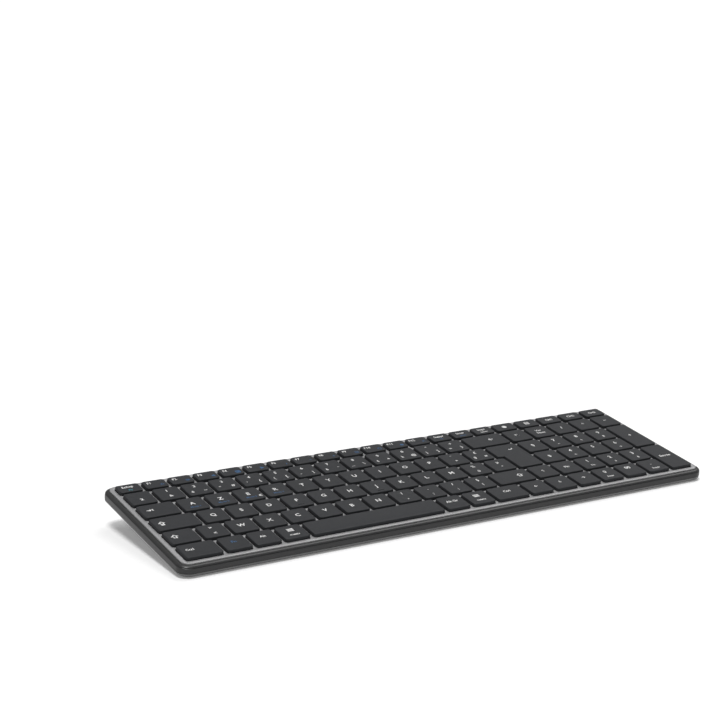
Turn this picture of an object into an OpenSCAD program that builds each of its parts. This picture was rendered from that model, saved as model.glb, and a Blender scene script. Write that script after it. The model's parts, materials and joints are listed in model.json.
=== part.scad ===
// Low wireless keyboard with a number pad, raised at the back by a battery ridge and two fold-out feet.
// Pieces are drawn on the deck: x runs right, y runs back and z = 0 is the deck's top face.
// on_table() then tilts them, so that z = 0 is the table under the feet and the pads.

/* [Key field] */
// Distance between the centres of two letter keys
key_pitch = 19; // [15:0.1:23]
// Depth of the function row
f_row_d = 12.9; // [10:0.1:16]
// Space between two caps that stand side by side
cap_gap_x = 2.3; // [1.8:0.1:3]
// Space between two caps that stand one behind the other
cap_gap_y = 2.1; // [1.7:0.1:3]

/* [Caps] */
// Height of a cap's top face above the deck
cap_rise = 2; // [1.6:0.1:3]
// How far a cap's skirt reaches into its window at rest
cap_dip = 0.2; // [0.1:0.1:0.6]
// Thickness of a cap's roof
cap_roof = 1; // [0.8:0.1:1.3]
// Thickness of a cap's skirt
cap_wall = 0.9; // [0.7:0.1:1.2]
// Corner radius of a cap, seen from above
cap_corner = 1.9; // [1:0.1:3]
// Radius of the soft edge round a cap's top face
cap_edge = 0.45; // [0.2:0.05:0.8]
// Travel of a key
key_travel = 1.8; // [1.2:0.1:2.2]

// Length of the nub on the two keys under the index fingers
nub_w = 4; // [3:0.1:6]
// Depth of that nub
nub_d = 0.9; // [0.6:0.1:1.4]
// Height of that nub
nub_h = 0.25; // [0.1:0.05:0.4]

/* [Stems and guides] */
// Width of the cross-shaped stem
stem_w = 4.2; // [3.4:0.1:5.2]
// Thickness of each web of the stem
stem_web = 1.4; // [1:0.1:2]
// Reach of the two hooks that keep a stem in its barrel
hook_reach = 0.5; // [0.3:0.1:0.8]
// Height of those hooks
hook_h = 0.5; // [0.3:0.1:0.8]
// Running clearance round a stem
stem_play = 0.15; // [0.1:0.05:0.3]
// Wall of a guide barrel
barrel_wall = 1; // [0.8:0.1:1.4]
// Thickness of the guide frame's plate
guide_t = 0.8; // [0.6:0.1:1.4]
// Width of the ribs under the guide frame
guide_rib = 1.6; // [1:0.1:2.4]

/* [Space bar wire] */
// Diameter of the wire that keeps the space bar level
wire_d = 0.8; // [0.6:0.1:1]
// Length of the wire's arms
wire_arm = 8.3; // [7:0.1:9]
// Radius of the wire's bends, at its middle
wire_bend = 0.8; // [0.6:0.05:1]
// Clearance round the wire in its clips
wire_play = 0.1; // [0.05:0.05:0.2]

/* [Layers under the keys] */
// Height of a rubber dome
dome_h = 2.2; // [2:0.1:3]
// Radius of a dome at its foot
dome_r = 3.9; // [3:0.1:4.5]
// Wall of a dome
dome_wall = 0.35; // [0.25:0.05:0.5]
// Thickness of the rubber sheet between the domes
sheet_t = 0.3; // [0.2:0.05:0.5]
// Thickness of the printed membrane
membrane_t = 0.2; // [0.15:0.05:0.4]
// Thickness of the steel base plate
plate_t = 0.4; // [0.3:0.1:0.8]

/* [Housing] */
// Thickness of the deck plate
deck_t = 1; // [0.8:0.1:1.4]
// Clearance round a cap in its window
window_play = 0.35; // [0.25:0.05:0.5]
// Width of the deck's border outside the keys
deck_border = 2.1; // [1.6:0.1:6]
// Corner radius of the deck
deck_corner = 5; // [3:0.5:10]
// How far the rim bulges past the deck
rim_out = 3; // [2.4:0.1:5]
// How far the rim's inner edge lies below the deck's top
rim_step = 0.45; // [0:0.05:0.6]
// Drop of the slope round the rim, counted from the deck's top
rim_fall = 1.8; // [1.2:0.1:2.2]
// Width and depth of the fine groove under that slope
rim_groove = 0.25; // [0.1:0.05:0.4]
// Wall of the two housing halves
shell_wall = 1.4; // [1:0.1:2]
// Thickness of the housing's floor
floor_t = 1.3; // [1.1:0.1:2]
// Depth of the line between the two halves below the deck
parting_z = 5.2; // [4.4:0.1:5.4]
// Width of the line between the two halves
parting_w = 0.25; // [0.1:0.05:0.5]
// How far the tray's edge is rounded under
tray_round = 4.2; // [3:0.1:6]

/* [Battery ridge] */
// Distance of the ridge's flat underside from each end of the housing
ridge_inset = 34.7; // [26:0.1:44]
// Distance of the ridge's back from the back of the housing
ridge_setback = 5; // [3.5:0.1:8]
// Front to back size of the ridge's flat underside
ridge_d = 26; // [22:1:34]
// Depth of the ridge below the housing
ridge_h = 6.5; // [6:0.1:8]
// Wall of the ridge
ridge_wall = 1.5; // [1.2:0.1:2]
// Run of the ridge's sloping front and ends
ridge_slope = 5; // [2:0.5:8]
// Thickness of the ribs across the ridge's hollow
hollow_rib = 1.2; // [0.8:0.1:1.6]

/* [Stand] */
// Slope of the deck when the feet are folded out, in degrees
tilt = 7.86; // [6.5:0.02:9.5]
// Width of a foot
foot_w = 26; // [18:1:32]
// Thickness of a foot
foot_t = 3; // [2.5:0.1:3.6]
// Radius of a foot's two hinge pins
foot_pin_r = 1; // [0.8:0.1:1.2]
// Length of each of those pins
foot_pin_l = 2; // [1.2:0.1:3]
// Clearance of a foot in its pocket
foot_play = 0.3; // [0.2:0.05:0.5]
// Wall behind a foot's pocket
foot_wall = 3; // [2:0.1:5]
// Height of the rubber tip on a foot, at its middle
foot_tip = 1.6; // [1.2:0.1:2.5]
// Distance of a foot's centre from the ridge's end
foot_inset = 24; // [20:1:30]
// Height of the front pads at their front edge
pad_h = 1; // [0.7:0.1:1.6]
// Width of a front pad
pad_w = 24; // [12:1:40]
// Depth of a front pad
pad_d = 8; // [5:0.5:12]
// Distance of the front pads from the front of the housing
pad_setback = 8; // [6:0.5:14]

/* [Electronics] */
// Length of the cell
cell_l = 74; // [50:1:76]
// Depth of the cell and of the circuit board, front to back
cell_d = 20; // [16:0.5:21]
// Thickness of the cell
cell_t = 4.8; // [3:0.1:5]
// Length of the circuit board
board_l = 78; // [64:1:80]
// Thickness of the circuit board
board_t = 0.8; // [0.6:0.1:1.6]
// Space between the cell and the board
pack_gap = 4; // [3:0.5:8]
// Width of the charging socket
socket_w = 8.9; // [8.6:0.1:9.2]
// Height of the charging socket
socket_h = 3.2; // [3:0.1:3.4]
// Depth of the charging socket
socket_d = 7.3; // [6.5:0.1:8]
// Travel of the power slider
slider_travel = 2.6; // [2:0.1:4]
// Width of the power slider's knob
slider_w = 3.6; // [2.5:0.1:5]
// Height of the power slider's knob
slider_h = 2; // [1.5:0.1:2.6]

/* [Screws] */
// Radius of a screw's shank
screw_r = 1; // [0.8:0.1:1.2]
// Radius of a screw's head
screw_head_r = 1.8; // [1.5:0.1:2.2]
// Height of a screw's head
screw_head_h = 0.6; // [0.4:0.1:0.7]
// Distance between two screws in a row, in key pitches
screw_pitches = 3.9; // [3.3:0.1:4.3]

/* [Hidden] */

$fn = 48;
eps = 0.01;
over = 1; // how far a cut runs past the faces that it opens

// The layout is in key pitches, counted from the field's left edge and from its back row.
main_block = 14.75;
field_pitches = 19.75;
full_rows = 5;
f_key = main_block / 16;
long_key = 1.7; // keys longer than this have a guide post on each side of the stem
post_share = 0.3; // distance of a post from the stem, as a share of the key's length
home_row = 3;
nub_starts = [4.625, 7.625];
nub_inset = 2.4; // distance of a nub from the cap's front edge
rib_pitches = 18.5; // the ribs under the guide frame end before the tall keys

// A key is a list of blocks, and a block is [row, start, width, rows that it spans].
function strip(row, start, count, width = 1) =
    [for (i = [0:count - 1]) [[row, start + i * width, width, 1]]];

key_sets = [
    ["escape_key", strip(0, 0, 1, f_key)],
    ["f1_f4_keys", strip(0, f_key, 4, f_key)],
    ["f5_f8_keys", strip(0, 5 * f_key, 4, f_key)],
    ["f9_f12_keys", strip(0, 9 * f_key, 4, f_key)],
    ["edit_keys", strip(0, 13 * f_key, 3, f_key)],
    ["shortcut_keys", strip(0, main_block, 5)],
    ["left_digit_keys", strip(1, 0, 7)],
    ["right_digit_keys", strip(1, 7, 6)],
    ["backspace_key", strip(1, 13, 1, 1.75)],
    ["home_key", strip(1, main_block, 1)],
    ["operator_keys", strip(1, 15.75, 4)],
    ["tab_key", strip(2, 0, 1, 1.375)],
    ["left_upper_keys", strip(2, 1.375, 5)],
    ["right_upper_keys", strip(2, 6.375, 7)],
    ["enter_key", [[[2, 13.375, 1.375, 1], [2, 13.625, 1.125, 2]]]],
    ["page_up_key", strip(2, main_block, 1)],
    ["caps_lock_key", strip(3, 0, 1, 1.625)],
    ["left_home_keys", strip(3, 1.625, 5)],
    ["right_home_keys", strip(3, 6.625, 7)],
    ["page_down_key", strip(3, main_block, 1)],
    ["upper_number_keys", concat(strip(2, 15.75, 3), strip(3, 15.75, 3))],
    ["plus_key", [[[2, 18.75, 1, 2]]]],
    ["left_shift_key", strip(4, 0, 1, 1.125)],
    ["left_lower_keys", strip(4, 1.125, 5)],
    ["right_lower_keys", strip(4, 6.125, 6)],
    ["right_shift_key", strip(4, 12.125, 1, 1.625)],
    ["arrow_up_key", strip(4, 13.75, 1)],
    ["end_key", strip(4, main_block, 1)],
    ["lower_number_keys", concat(strip(4, 15.75, 3), strip(5, 15.75, 3))],
    ["number_enter_key", [[[4, 18.75, 1, 2]]]],
    ["left_ctrl_key", strip(5, 0, 1, 1.375)],
    ["fn_key", strip(5, 1.375, 1)],
    ["alt_key", strip(5, 2.375, 1)],
    ["left_menu_key", strip(5, 3.375, 1)],
    ["space_bar", strip(5, 4.375, 1, 5)],
    ["alt_gr_key", strip(5, 9.375, 1)],
    ["right_menu_key", strip(5, 10.375, 1)],
    ["right_ctrl_key", strip(5, 11.375, 1, 1.375)],
    ["arrow_left_key", strip(5, 12.75, 1)],
    ["arrow_down_key", strip(5, 13.75, 1)],
    ["arrow_right_key", strip(5, main_block, 1)]
];
keys = [for (set = key_sets) each set[1]];
space_key = [for (set = key_sets) if (set[0] == "space_bar") set[1][0]][0];

field_w = field_pitches * key_pitch;
field_d = f_row_d + full_rows * key_pitch;
deck_w = field_w + 2 * deck_border;
deck_d = field_d + 2 * deck_border;
module_w = field_w + deck_border;
module_d = field_d + deck_border;
module_corner = 3;

// Levels, from the cap's roof down to the underside of the housing
press_air = 0.2; // air left under a skirt that is pressed down
barrel_air = 0.1; // air left between a roof that is pressed down and the barrel, and over the hooks
dome_air = 0.25; // air between a stem and its dome
z_roof = cap_rise - cap_roof;
z_guide_top = -cap_dip - key_travel - press_air;
z_guide = z_guide_top - guide_t;
z_barrel_top = z_roof - key_travel - barrel_air;
z_stem = z_guide - barrel_air - hook_h;
z_sheet_top = z_stem - dome_air - dome_h;
z_membrane_top = z_sheet_top - sheet_t;
z_plate_top = z_membrane_top - membrane_t;
z_floor_top = z_plate_top - plate_t;
z_bottom = z_floor_top - floor_t;
z_ridge = z_bottom - ridge_h;

// The ridge's flat underside runs from ridge_front to ridge_back.
ridge_w = deck_w + 2 * rim_out - 2 * ridge_inset;
ridge_back = deck_d / 2 + rim_out - ridge_setback;
ridge_front = ridge_back - ridge_d;
hollow_back = ridge_back - ridge_wall;
hollow_front = ridge_front + ridge_wall;
z_hollow = z_ridge + ridge_wall;

// The table, seen from the deck, starts under the front pads and falls towards the back.
pad_front = -(deck_d / 2 + rim_out) + pad_setback;
function table_z(y) = z_bottom - pad_h - (y - pad_front) * tan(tilt);
foot_x = ridge_w / 2 - foot_inset;
hinge_y = ridge_back - foot_t / 2 - foot_wall;
foot_sink = 0.2; // how deep a folded foot lies in its pocket
pin_play = 0.1; // round a pin in its bore
pin_air = 0.3; // past the end of a pin
hinge_z = z_ridge + foot_t / 2 + foot_sink;
z_foot_end = table_z(hinge_y) + foot_tip;
pocket_front = hinge_y + z_foot_end - foot_tip - hinge_z - foot_t * tan(tilt) - foot_play;

// The hollow ends beside the foot pockets. The cell and the board lie in it side by side.
pocket_web = 8;
hollow_w = 2 * (foot_x - foot_w / 2 - foot_play - foot_pin_l - pocket_web);
cell_x = -(board_l + pack_gap) / 2;
board_x = (cell_l + pack_gap) / 2;
board_lift = 0.5;
z_board = z_hollow + board_lift;
z_board_top = z_board + board_t;
board_air = 0.6; // space behind the board
board_back = hollow_back - board_air;
socket_inset = 17; // distance of the socket from the board's left end
slider_inset = 27; // distance of the slider from the board's right end
socket_x = board_x - board_l / 2 + socket_inset;
slider_x = board_x + board_l / 2 - slider_inset;
z_socket = z_board_top + socket_h / 2;
socket_play = 0.2;
slider_play = 0.2;
pack_play = 0.3; // space between the ribs and the cell or the board
slider_slot = [slider_w + slider_travel + 2 * slider_play, slider_h + 2 * slider_play];
tail_shift = 2; // distance of the membrane's tail from the board's middle
tail_inset = 8; // distance of the tail from the hollow's front
tail_x = board_x - tail_shift;
tail_y = hollow_front + tail_inset;
screw_step = screw_pitches * key_pitch;
screw_rows = [row_back(2), row_back(5)];
screw_points = [for (i = [-2:2], y = screw_rows) [i * screw_step, y]];
boss_wall = 1.2;
boss_play = 0.2;
thread_play = 0.1; // round a screw in its boss
screw_play = 0.15; // round a screw in the cover and the base plate
head_play = 0.2;
head_sink = 0.1;

space_mid = middle(cap_rect(space_key[0]));
wire_r = wire_d / 2;
wire_inset = 5.5; // distance of the wire's arms from the ends of the space bar
tab_inset = 6; // distance of the space bar's tabs from the wire's arms
wire_half = cap_rect(space_key[0])[2] / 2 - wire_inset;
wire_back = 3.6; // distance of the wire's ends behind the middle of the space bar
wire_pivot = [space_mid.y + wire_back, z_guide_top + wire_play + wire_r];
wire_bar_z = z_roof - wire_play - wire_r;
wire_rise = wire_bar_z - wire_pivot[1];
wire_slope = asin(wire_rise / wire_arm);
wire_reach = sqrt(wire_arm * wire_arm - wire_rise * wire_rise);
wire_clip = 1.4;
clip_air = 0.1; // between a bend and the clip beside it
wire_clip_x = wire_half + wire_bend + clip_air + wire_clip / 2;
wire_end = wire_clip_x + wire_clip / 2 + 0.3;

// Rectangles are [left, front, width, depth].
function row_back(row) = field_d / 2 - (row == 0 ? 0 : f_row_d + (row - 1) * key_pitch);
function block_depth(block) = block[0] == 0 ? f_row_d : block[3] * key_pitch;
function cap_rect(block) = [
    block[1] * key_pitch - field_w / 2 + cap_gap_x / 2,
    row_back(block[0]) - block_depth(block) + cap_gap_y / 2,
    block[2] * key_pitch - cap_gap_x,
    block_depth(block) - cap_gap_y
];
function grown(rect, by) = [rect[0] - by, rect[1] - by, rect[2] + 2 * by, rect[3] + 2 * by];
function middle(rect) = [rect[0] + rect[2] / 2, rect[1] + rect[3] / 2];
function centred(w, d) = [-w / 2, -d / 2, w, d];
function corners(rect) = [
    [rect[0], rect[1]],
    [rect[0] + rect[2], rect[1]],
    [rect[0] + rect[2], rect[1] + rect[3]],
    [rect[0], rect[1] + rect[3]]
];

// The same outline with each corner turned into a short curve that starts at distance r from it.
// A list r holds one distance for each corner, and 0 keeps that corner sharp.
function softened(points, r, steps = 3) = [
    for (i = [0:len(points) - 1])
        let (
            p = points[i],
            before = points[(i + len(points) - 1) % len(points)] - p,
            after = points[(i + 1) % len(points)] - p,
            ri = is_list(r) ? r[i] : r,
            a = p + before / norm(before) * ri,
            b = p + after / norm(after) * ri
        )
        for (k = [0:ri > 0 ? steps : 0])
            let (s = k / steps)
            (1 - s) * (1 - s) * a + 2 * s * (1 - s) * p + s * s * b
];

// The stem of a key stands under its last block, and a long key has a post on each side of it.
function last_block(key) = key[len(key) - 1];
function stem_point(key) = middle(cap_rect(last_block(key)));
function is_long(key) = max(last_block(key)[2], last_block(key)[3]) > long_key;
function post_points(key) =
    let (
        block = last_block(key),
        along = block[2] > block[3] ? [block[2], 0] : [0, block[3]]
    )
    is_long(key) ? [for (side = [-1, 1]) stem_point(key) + side * post_share * key_pitch * along] : [];
function guide_points(key) = concat([stem_point(key)], post_points(key));

// The rim's section, as [distance outside the deck's edge, height]. From the deck outwards it has
// a ledge, a slope, a fine groove and a side. Its shelf carries the edge of the deck.
deck_play = 0.08;
rim_ledge = 0.5;
rim_shelf = 1.2;
z_shelf = -deck_t - rim_shelf;
rim_slope_out = rim_out - 1.5 * rim_groove;
z_groove = -rim_fall - rim_groove;
function rim_section() = [
    [deck_play, -rim_step],
    [rim_ledge, -rim_step],
    [rim_slope_out, -rim_fall],
    [rim_slope_out - rim_groove / 2, z_groove],
    [rim_out - rim_groove / 3, z_groove - rim_groove / 2],
    [rim_out, z_groove - 1.5 * rim_groove],
    [rim_out, -parting_z],
    [rim_out - shell_wall, -parting_z],
    [rim_out - shell_wall, z_shelf],
    [-rim_shelf, z_shelf],
    [-rim_shelf, -deck_t],
    [deck_play, -deck_t]
];
// The tray's section: a quarter of an ellipse rounds it under a short straight side
tray_out = rim_out - 0.1;
tray_side = 0.8;
z_tray_top = -parting_z - parting_w;
tray_rise = z_tray_top - tray_side - z_bottom;
function tray_section(inner) = concat(
    [[inner, z_bottom]],
    [
        for (a = [0:15:90])
            [tray_out - tray_round * (1 - sin(a)), z_bottom + tray_rise * (1 - cos(a))]
    ],
    [[tray_out, z_tray_top], [inner, z_tray_top]]
);
// The tongue on the tray's wall that reaches up inside the rim
tongue_play = 0.15;
tongue_t = 0.8;
tongue_h = 1.2;
tongue_out = rim_out - shell_wall - tongue_play;
tongue_in = tongue_out - tongue_t;
tongue_top = -parting_z + tongue_h;

// Front and back limits of the tilted housing, which centre it over the origin
edge_points = concat(rim_section(), tray_section(0));
front_limit = min([for (p = edge_points) -(deck_d / 2 + p[0]) * cos(tilt) - p[1] * sin(tilt)]);
back_limit = max([for (p = edge_points) (deck_d / 2 + p[0]) * cos(tilt) - p[1] * sin(tilt)]);
table_lift = -pad_front * sin(tilt) - (z_bottom - pad_h) * cos(tilt);

module on_table() {
    translate([0, -(front_limit + back_limit) / 2, table_lift])
        rotate([tilt, 0, 0])
            children();
}

module block_of(rect, z0, z1) {
    translate([rect[0], rect[1], z0])
        cube([rect[2], rect[3], z1 - z0]);
}

module slab_of(points, z0, z1) {
    translate([0, 0, z0])
        linear_extrude(z1 - z0)
            polygon(points);
}

// Carries a section round the deck's outline. The section's x is counted from the deck's edge.
module round_the_deck(points) {
    section = [for (p = points) p + [deck_corner, 0]];
    run = [deck_w / 2 - deck_corner, deck_d / 2 - deck_corner];
    for (side = [0:3]) {
        out = side % 2 == 0 ? run.x : run.y;
        half = side % 2 == 0 ? run.y : run.x;
        rotate([0, 0, 90 * side])
            translate([out, half, 0]) {
                rotate_extrude(angle = 90)
                    polygon(section);
                rotate([90, 0, 0])
                    linear_extrude(2 * half)
                        polygon(section);
            }
    }
}

// A slab with the deck's outline, set out by some distance
module deck_slab(by, z0, z1) {
    round_the_deck([[-deck_corner, z0], [by, z0], [by, z1], [-deck_corner, z1]]);
    block_of(centred(deck_w - 2 * deck_corner, deck_d - 2 * deck_corner), z0, z1);
}

// Outline of the deck plate, whose corners lie within the rim's round ones
function deck_outline(steps = 8) = [
    for (side = [0:3], i = [0:steps])
        let (turn = 90 * side + 90 * i / steps)
        [
            (side == 0 || side == 3 ? 1 : -1) * (deck_w / 2 - deck_corner) + deck_corner * cos(turn),
            (side < 2 ? 1 : -1) * (deck_d / 2 - deck_corner) + deck_corner * sin(turn)
        ]
];
function window_outline(block) =
    softened(corners(grown(cap_rect(block), window_play)), cap_corner + window_play);
function module_outline() = softened(corners(centred(module_w, module_d)), module_corner);

module top_case() {
    color("#45474a")
        round_the_deck(rim_section());
}

module deck_plate() {
    color("#9c9ea1")
        translate([0, 0, -deck_t])
            linear_extrude(deck_t)
                difference() {
                    polygon(deck_outline());
                    for (key = keys, block = key)
                        polygon(window_outline(block));
                }
}

// One block of a cap: its plan outline, cut by a soft-edged section along each of its two sides
function cap_section(w) = concat(
    [[w / 2, -cap_dip]],
    [for (a = [0, 30, 60, 90]) [w / 2 - cap_edge * (1 - cos(a)), cap_rise - cap_edge * (1 - sin(a))]],
    [for (a = [90, 60, 30, 0]) [-w / 2 + cap_edge * (1 - cos(a)), cap_rise - cap_edge * (1 - sin(a))]],
    [[-w / 2, -cap_dip]]
);
module cap_block(rect) {
    mid = middle(rect);
    intersection() {
        slab_of(softened(corners(rect), cap_corner), -cap_dip, cap_rise + over);
        translate([mid.x, mid.y, 0])
            rotate([90, 0, 0])
                linear_extrude(rect[3] + 2 * over, center = true)
                    polygon(cap_section(rect[2]));
        translate([mid.x, mid.y, 0])
            rotate([90, 0, 90])
                linear_extrude(rect[2] + 2 * over, center = true)
                    polygon(cap_section(rect[3]));
    }
}

// The cross that slides in a guide barrel, with its two hooks under the guide frame
module stem(at) {
    top = z_roof + cap_roof / 2;
    hook_root = 0.2;
    for (size = [[stem_w, stem_web], [stem_web, stem_w]])
        translate([at.x - size.x / 2, at.y - size.y / 2, z_stem])
            cube([size.x, size.y, top - z_stem]);
    for (side = [-1, 1])
        translate([at.x + side * (stem_w + hook_reach - hook_root) / 2, at.y, z_stem + hook_h / 2])
            cube([hook_reach + hook_root, stem_web, hook_h], center = true);
}

module cap(key) {
    difference() {
        for (block = key)
            cap_block(cap_rect(block));
        for (block = key)
            block_of(grown(cap_rect(block), -cap_wall), -cap_dip - over, z_roof);
    }
    for (at = guide_points(key))
        stem(at);
    for (start = nub_starts)
        if (key[0][0] == home_row && key[0][1] == start)
            home_nub(cap_rect(key[0]));
}

// The nub near the front of a cap, by which a finger finds the key
module home_nub(rect) {
    block_of(
        [middle(rect).x - nub_w / 2, rect[1] + nub_inset, nub_w, nub_d],
        cap_rise - cap_roof / 2, cap_rise + nub_h
    );
}

// A tab under the space bar's roof that holds the wire's long bar in a slot with a lip on each side
module wire_tab(x) {
    tab_wall = 0.8;
    lip_t = 0.25;
    lip_reach = 0.3;
    slide = wire_arm - wire_reach;
    slot_y = wire_pivot[0] - wire_arm - wire_r - wire_play;
    slot_d = slide + wire_d + 2 * wire_play;
    slot_bottom = wire_bar_z - wire_r - wire_play;
    difference() {
        block_of(
            [x - wire_clip / 2, slot_y - tab_wall, wire_clip, slot_d + 2 * tab_wall],
            slot_bottom - lip_t, z_roof + cap_roof / 2
        );
        block_of([x - wire_clip, slot_y, 2 * wire_clip, slot_d], slot_bottom, z_roof);
        block_of(
            [x - wire_clip, slot_y + lip_reach, 2 * wire_clip, slot_d - 2 * lip_reach],
            slot_bottom - over, z_roof
        );
    }
}

module key_set(set) {
    color("#3b3d41")
        for (key = set[1])
            cap(key);
    if (set[0] == "space_bar")
        color("#3b3d41")
            for (side = [-1, 1])
                wire_tab(space_mid.x + side * (wire_half - tab_inset));
}

// A clip on the guide frame, open towards the back, in which one end of the wire turns
module guide_clip(x) {
    clip_wall = 1;
    slot_y = wire_pivot[0] - wire_r - wire_play;
    slot_d = wire_d + 2 * wire_play;
    difference() {
        block_of(
            [x - wire_clip / 2, slot_y - clip_wall, wire_clip, slot_d + 2 * clip_wall],
            z_guide_top - eps, z_barrel_top
        );
        block_of(
            [x - wire_clip, slot_y, 2 * wire_clip, slot_d + 2 * clip_wall],
            z_guide_top, z_guide_top + slot_d
        );
    }
}

module guide_frame() {
    hole = stem_w + 2 * stem_play;
    barrel = hole + 2 * barrel_wall;
    dome_room = 2 * dome_r + 2;
    rest_bar = [10, 1.2];
    color("#202123")
        difference() {
            union() {
                slab_of(module_outline(), z_guide, z_guide_top);
                for (key = keys, at = guide_points(key))
                    translate([at.x - barrel / 2, at.y - barrel / 2, z_guide])
                        cube([barrel, barrel, z_barrel_top - z_guide]);
                for (row = [1:full_rows])
                    block_of(
                        [-field_w / 2, row_back(row) - guide_rib / 2, rib_pitches * key_pitch, guide_rib],
                        z_sheet_top, z_guide + eps
                    );
                for (at = screw_points) {
                    translate([at.x, at.y, z_plate_top])
                        cylinder(h = z_guide + eps - z_plate_top, r = screw_r + boss_wall, $fn = 12);
                    block_of(
                        [at.x - rest_bar[0] / 2, at.y - rest_bar[1] / 2, rest_bar[0], rest_bar[1]],
                        z_guide, -deck_t
                    );
                }
                for (side = [-1, 1])
                    guide_clip(space_mid.x + side * wire_clip_x);
            }
            for (key = keys, at = guide_points(key))
                translate([at.x - hole / 2, at.y - hole / 2, z_guide - over])
                    cube([hole, hole, z_barrel_top - z_guide + 2 * over]);
            for (key = keys)
                if (last_block(key)[3] == 2)
                    let (at = stem_point(key))
                    block_of(
                        [at.x - dome_room / 2, at.y - dome_room / 2, dome_room, dome_room],
                        z_sheet_top - over, z_guide
                    );
            for (at = screw_points)
                translate([at.x, at.y, z_plate_top - over])
                    cylinder(h = z_guide_top - z_plate_top, r = screw_r + thread_play, $fn = 12);
        }
}

// A hollow rubber dome, as half of its section
dome_top_r = 0.45 * dome_r;
dome_skirt_h = 0.25 * dome_h;
dome_bevel = 0.25;
dome_section = [
    [dome_r - dome_wall, 0],
    [dome_r, 0],
    [dome_r, dome_skirt_h],
    [dome_top_r + dome_bevel, dome_h - dome_bevel],
    [dome_top_r, dome_h],
    [0, dome_h],
    [0, dome_h - 2 * dome_wall],
    [dome_top_r - dome_bevel, dome_h - 2 * dome_wall],
    [dome_r - dome_wall, dome_skirt_h]
];

module screw_holes(r, z0, z1) {
    for (at = screw_points)
        translate([at.x, at.y, z0])
            cylinder(h = z1 - z0, r = r);
}

module dome_sheet() {
    color("#c9c9c4") {
        difference() {
            slab_of(module_outline(), z_membrane_top, z_sheet_top);
            for (key = keys)
                translate([stem_point(key).x, stem_point(key).y, z_membrane_top - over])
                    cylinder(h = sheet_t + 2 * over, r = dome_r - dome_wall);
            screw_holes(screw_r + boss_wall + boss_play, z_membrane_top - over, z_sheet_top + over);
        }
        for (key = keys)
            translate([stem_point(key).x, stem_point(key).y, z_sheet_top])
                rotate_extrude()
                    polygon(dome_section);
    }
}

module membrane() {
    tail_w = 14;
    tail_end = z_board_top + 0.9;
    color("#8fa3ad")
        difference() {
            union() {
                slab_of(module_outline(), z_plate_top, z_membrane_top);
                block_of(
                    [tail_x - tail_w / 2, tail_y - membrane_t / 2, tail_w, membrane_t],
                    tail_end, z_membrane_top
                );
            }
            screw_holes(screw_r + boss_wall + boss_play, z_plate_top - over, z_membrane_top + over);
        }
}

module base_plate() {
    slot_w = 16;
    slot_d = 1.4;
    color("#8a8c8f")
        difference() {
            slab_of(module_outline(), z_floor_top, z_plate_top);
            screw_holes(screw_r + screw_play, z_floor_top - over, z_plate_top + over);
            block_of(
                [tail_x - slot_w / 2, tail_y - slot_d / 2, slot_w, slot_d],
                z_floor_top - over, z_plate_top + over
            );
        }
}

// Section of the ridge from front to back, and the outline of its ends seen from the front
ridge_top = z_bottom + floor_t / 2;
ridge_round = 1.2;
ridge_back_round = 0.8;
ridge_side = softened([
    [ridge_back, ridge_top],
    [ridge_front - ridge_slope, ridge_top],
    [ridge_front - ridge_slope, z_bottom],
    [ridge_front, z_ridge],
    [ridge_back, z_ridge]
], [0, 0, 0, ridge_round, ridge_back_round]);
ridge_end = softened([
    [-ridge_w / 2 - ridge_slope, ridge_top + over],
    [-ridge_w / 2 - ridge_slope, z_bottom],
    [-ridge_w / 2, z_ridge],
    [ridge_w / 2, z_ridge],
    [ridge_w / 2 + ridge_slope, z_bottom],
    [ridge_w / 2 + ridge_slope, ridge_top + over]
], [0, 0, ridge_round, ridge_round, 0, 0]);

module ridge() {
    intersection() {
        rotate([90, 0, 90])
            linear_extrude(ridge_w + 3 * ridge_slope, center = true)
                polygon(ridge_side);
        translate([0, ridge_back - ridge_d / 2, 0])
            rotate([90, 0, 0])
                linear_extrude(ridge_d + 4 * ridge_slope, center = true)
                    polygon(ridge_end);
    }
}

// A foot's pocket: open below, with bores for its pins and a notch for a fingernail
module foot_pocket(x) {
    w = foot_w + 2 * foot_play;
    heel_play = 0.05;
    pocket_back = hinge_y + foot_t / 2 + heel_play;
    nail_w = 10;
    nail_d = 3;
    nail_step = 1;
    ceiling = hinge_z + foot_t / 2 + foot_play;
    translate([x, 0, 0]) {
        block_of([-w / 2, pocket_front, w, pocket_back - pocket_front], z_ridge - over, ceiling);
        block_of(
            [-nail_w / 2, pocket_front - nail_d, nail_w, nail_d + over],
            z_ridge - over, ceiling - nail_step
        );
        translate([0, hinge_y, hinge_z])
            rotate([0, 90, 0])
                cylinder(h = w + 2 * foot_pin_l, r = foot_pin_r + pin_play, center = true);
    }
}

// Outline of the charging socket and of its port, with round ends
module socket_outline(play) {
    h = socket_h + 2 * play;
    run = (socket_w - socket_h) / 2;
    square([2 * run, h], center = true);
    for (side = [-1, 1])
        translate([side * run, 0])
            circle(h / 2);
}

// Ribs across the hollow that keep the cell and the board from sliding sideways
module hollow_ribs() {
    rib_h = 3;
    starts = [
        cell_x - cell_l / 2 - pack_play - hollow_rib,
        cell_x + cell_l / 2 + pack_play,
        board_x + board_l / 2 + pack_play
    ];
    for (x = starts)
        block_of(
            [x, hollow_front - eps, hollow_rib, hollow_back - hollow_front + 2 * eps],
            z_hollow - eps, z_hollow + rib_h
        );
}

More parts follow.
